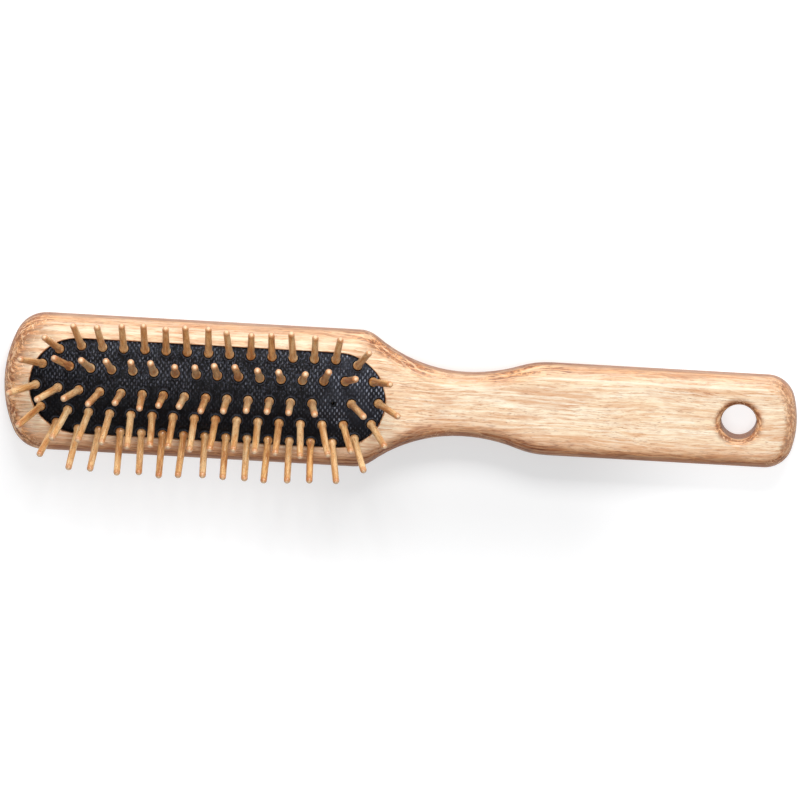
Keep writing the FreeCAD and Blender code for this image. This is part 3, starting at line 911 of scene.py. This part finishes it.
def top_sheet(pins, openings):
    """Upper side of the facing: points, triangles, and each point's distance from the nearest pin."""
    rim_radius = face.radius - RIM_ROLL
    rim = stadium_loop(face.spine, rim_radius)
    holes = [circle_on_face(axis, radii)[:, :2] for axis, radii in openings]
    loose = np.concatenate([rings_round(pins), field_between(pins)])
    loose = loose[from_spine(loose) < rim_radius - RIM_STEP / 2]
    faces = triangulate(rim, holes, loose)
    flat = np.concatenate([rim] + holes + [loose])
    swell = swell_at(flat, cloth_swell(pins))
    points = face.on(flat) + face.normal(flat) * swell[:, None]
    # the vent's torn edge gets the same painted gap shade and crest highlight as a pin
    torn = RING_GAP + VENT_FRAY * (from_axis(points, vent_axis()) - VENT_TORN_RADIUS)
    nearest = np.clip(torn, 0, PIN_CLEAR_RADIUS)
    for pin in pins:
        distance = from_axis(points, pin)
        nearest = np.minimum(nearest, distance)
        near = distance < 2 * DIMPLE_RADIUS
        fade = np.clip((rim_radius - from_spine(flat[near])) / RIM_ROLL, 0, 1)
        points[near] += np.outer(grommet(distance[near]) * fade, pin[1])
    return points, faces, nearest


def under_sheet(openings):
    """Under side of the facing: points and triangles."""
    radius = face.radius - SHEET_THICKNESS
    rim = stadium_loop(face.spine, radius)
    holes = [circle_on_face(axis, radii, SHEET_THICKNESS)[:, :2] for axis, radii in openings]
    field = even_field(UNDERSIDE_STEP)
    field_points = face.on(field)
    clear = from_spine(field) < radius - UNDERSIDE_STEP / 2
    for axis, radii in openings:
        clear &= from_axis(field_points, axis) > radii.max() + UNDERSIDE_STEP / 2
    loose = field[clear]
    faces = triangulate(rim, holes, loose)
    points = face.on(np.concatenate([rim] + holes + [loose])) - (0, 0, SHEET_THICKNESS)
    return points, faces


def edge_loops(top_rim, under_rim, bottom):
    """Loops from the upper side's rim over the rolled edge, down the skirt and up its inside."""
    corner = face.on(stadium_loop(face.spine, face.radius))
    end = corner - (0, 0, RIM_ROLL)
    loops = []
    for t in np.arange(1, RIM_ROLL_RINGS + 1) / RIM_ROLL_RINGS:
        loops.append(top_rim * (1 - t) ** 2 + corner * 2 * t * (1 - t) + end * t ** 2)
    skirt_top = loops[-1]
    for t in np.arange(1, SKIRT_RINGS + 1) / SKIRT_RINGS:
        ring = skirt_top.copy()
        ring[:, 2] = skirt_top[:, 2] * (1 - t) + bottom * t
        loops.append(ring)
    inside = np.column_stack([under_rim[:, :2], np.full(len(under_rim), bottom)])
    for t in np.arange(SKIRT_RINGS) / SKIRT_RINGS:
        loops.append(inside * (1 - t) + under_rim * t)
    return loops


def sewn(top_faces, under_faces, loop_firsts, around, hole_sizes):
    """Faces of the closed sheet: upper side, edge loops, under side, walls of the openings."""
    faces = [tuple(f) for f in top_faces]
    for a, b in zip(loop_firsts, loop_firsts[1:]):
        for i in range(around):
            j = (i + 1) % around
            faces.append((a + i, b + i, b + j, a + j))
    under_first = loop_firsts[-1]
    faces += [tuple(under_first + f[::-1]) for f in under_faces]
    first = around
    for count in hole_sizes:
        for i in range(count):
            j = (i + 1) % count
            faces.append((first + i, under_first + first + i, under_first + first + j, first + j))
        first += count
    return faces


def arc_from_middle(y):
    """Length along the curved section from its middle to y, so the weave keeps its size down the sides."""
    ys = np.linspace(0, face.radius, ARC_SAMPLES)
    steps = np.hypot(np.diff(ys), np.diff(face.height(0 * ys, ys)))
    arc = np.concatenate([[0], np.cumsum(steps)])
    return np.sign(y) * np.interp(np.abs(y), ys, arc)


def face_outwards(obj):
    mend = bmesh.new()
    mend.from_mesh(obj.data)
    bmesh.ops.recalc_face_normals(mend, faces=mend.faces)
    mend.to_mesh(obj.data)
    mend.free()


def textile_cushion(pins, material):
    """The woven facing: swollen between the pins, a raised ring round each, rolled into the rim."""
    pin_radii = np.full(PIN_RING_POINTS, PIN_HOLE_RADIUS)
    openings = [(pin, pin_radii) for pin in pins] + [(vent_axis(), vent_radii())]
    top, top_faces, nearest = top_sheet(pins, openings)
    under, under_faces = under_sheet(openings)
    around = len(stadium_loop(face.spine, face.radius))
    loops = edge_loops(top[:around], under[:around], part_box("fabric_facing")[0].z)
    points = np.concatenate([top] + loops + [under])
    loop_firsts = [0] + [len(top) + around * i for i in range(len(loops) + 1)]
    hole_sizes = [len(radii) for _, radii in openings]
    faces = sewn(top_faces, under_faces, loop_firsts, around, hole_sizes)

    piece = make_mesh("textile_cushion", points, faces)
    face_outwards(piece)
    place = np.column_stack([points[:, 0], arc_from_middle(points[:, 1]), np.zeros(len(points))])
    pin_distance = np.full(len(points), PIN_CLEAR_RADIUS)
    pin_distance[:len(top)] = nearest
    add_attribute(piece, "pin_distance", pin_distance / MM)
    add_attribute(piece, "weave_place", place / MM)
    wear(piece, material)
    return piece


def make_mesh(name, points, faces):
    """New smooth-shaded piece in the scene."""
    mesh = bpy.data.meshes.new(name)
    mesh.from_pydata([tuple(p) for p in points], [], faces)
    mesh.validate()
    obj = bpy.data.objects.new(name, mesh)
    bpy.context.scene.collection.objects.link(obj)
    mesh.polygons.foreach_set("use_smooth", [True] * len(mesh.polygons))
    return obj


def copied(name, node, material):
    """A piece with the same shape as a CAD node."""
    piece = bpy.data.objects.new(name, node.data.copy())
    bpy.context.scene.collection.objects.link(piece)
    piece.matrix_world = node.matrix_world
    wear(piece, material)
    return piece


# ---- the brush ---------------------------------------------------------------------------
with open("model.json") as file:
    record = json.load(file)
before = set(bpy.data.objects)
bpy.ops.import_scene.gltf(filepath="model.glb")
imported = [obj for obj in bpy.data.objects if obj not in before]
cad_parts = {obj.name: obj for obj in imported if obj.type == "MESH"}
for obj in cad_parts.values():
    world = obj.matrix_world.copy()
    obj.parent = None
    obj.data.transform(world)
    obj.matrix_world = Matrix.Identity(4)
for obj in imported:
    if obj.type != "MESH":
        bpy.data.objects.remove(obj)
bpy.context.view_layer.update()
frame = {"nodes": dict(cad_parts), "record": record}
nodes = frame["nodes"]
dice = np.random.default_rng(RANDOM_SEED)
face = CushionFace(nodes["fabric_facing"])

pins = dress_pins(nodes, pin_wood(), dice)
mount_places = {mount["name"]: mount["pos_m"] for mount in frame["record"]["mounts"]}
wear(nodes["wooden_body"], board_wood(mount_places["hanging_hole"]))

cushion = textile_cushion(pins, textile())
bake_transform(cushion)
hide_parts("fabric_facing")

pad = copied("rubber_pad", nodes["rubber_cushion"], rubber())
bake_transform(pad)
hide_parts("rubber_cushion")


# ---- stage -------------------------------------------------------------------------------
def set_camera():
    """Long lens, high above the brush and tilted towards its -Y side."""
    tilt, roll, yaw = map(math.radians, (CAMERA_TILT_DEG, CAMERA_ROLL_DEG, CAMERA_YAW_DEG))
    turn = Matrix.Rotation(roll, 3, "Z") @ Matrix.Rotation(tilt, 3, "X") @ Matrix.Rotation(yaw, 3, "Y")
    axes = turn.transposed()
    data = bpy.data.cameras.new("camera")
    data.sensor_width = SENSOR_WIDTH
    data.lens = SENSOR_WIDTH * CAMERA_DISTANCE / FIELD_WIDTH
    data.clip_start, data.clip_end = CAMERA_CLIP
    camera = bpy.data.objects.new("camera", data)
    bpy.context.scene.collection.objects.link(camera)
    camera.matrix_world = Matrix.Translation(CAMERA_AIM + axes.col[2] * CAMERA_DISTANCE) @ axes.to_4x4()
    bpy.context.scene.camera = camera


def area_light(name, place, size, power):
    data = bpy.data.lights.new(name, "AREA")
    data.shape = "RECTANGLE"
    data.size, data.size_y = size
    data.energy = power
    light = bpy.data.objects.new(name, data)
    bpy.context.scene.collection.objects.link(light)
    light.location = place
    light.rotation_mode = "QUATERNION"
    light.rotation_quaternion = (Vector(LIGHT_AIM) - Vector(place)).to_track_quat("-Z", "Y")


def soft_sky():
    """White world, bright from +Y and dim from -Y."""
    world = bpy.data.worlds.new("studio")
    world.use_nodes = True
    tree = world.node_tree
    background = tree.nodes["Background"]
    background.inputs["Color"].default_value = (1, 1, 1, 1)
    direction = tree.nodes.new("ShaderNodeTexCoord")
    split = tree.nodes.new("ShaderNodeSeparateXYZ")
    fall = tree.nodes.new("ShaderNodeMapRange")
    fall.inputs["From Min"].default_value = -SKY_TURN
    fall.inputs["From Max"].default_value = SKY_TURN
    fall.inputs["To Min"].default_value = SKY_FROM_MINUS_Y
    fall.inputs["To Max"].default_value = SKY_FROM_PLUS_Y
    tree.links.new(direction.outputs["Generated"], split.inputs[0])
    tree.links.new(split.outputs["Y"], fall.inputs["Value"])
    tree.links.new(fall.outputs[0], background.inputs["Strength"])
    return world


def set_stage():
    """Pale floor just under the brush, the sky and two soft lights."""
    corners = [(-FLOOR_HALF, -FLOOR_HALF, 0), (FLOOR_HALF, -FLOOR_HALF, 0),
               (FLOOR_HALF, FLOOR_HALF, 0), (-FLOOR_HALF, FLOOR_HALF, 0)]
    floor = make_mesh("floor", corners, [(0, 1, 2, 3)])
    floor.location.z = -FLOOR_DROP
    wear(floor, floor_paint())
    bpy.context.scene.world = soft_sky()
    area_light("key", KEY_PLACE, KEY_SIZE, KEY_POWER)
    area_light("overhead", OVERHEAD_PLACE, OVERHEAD_SIZE, OVERHEAD_POWER)
    bpy.context.scene.view_settings.view_transform = "Standard"


set_camera()
set_stage()
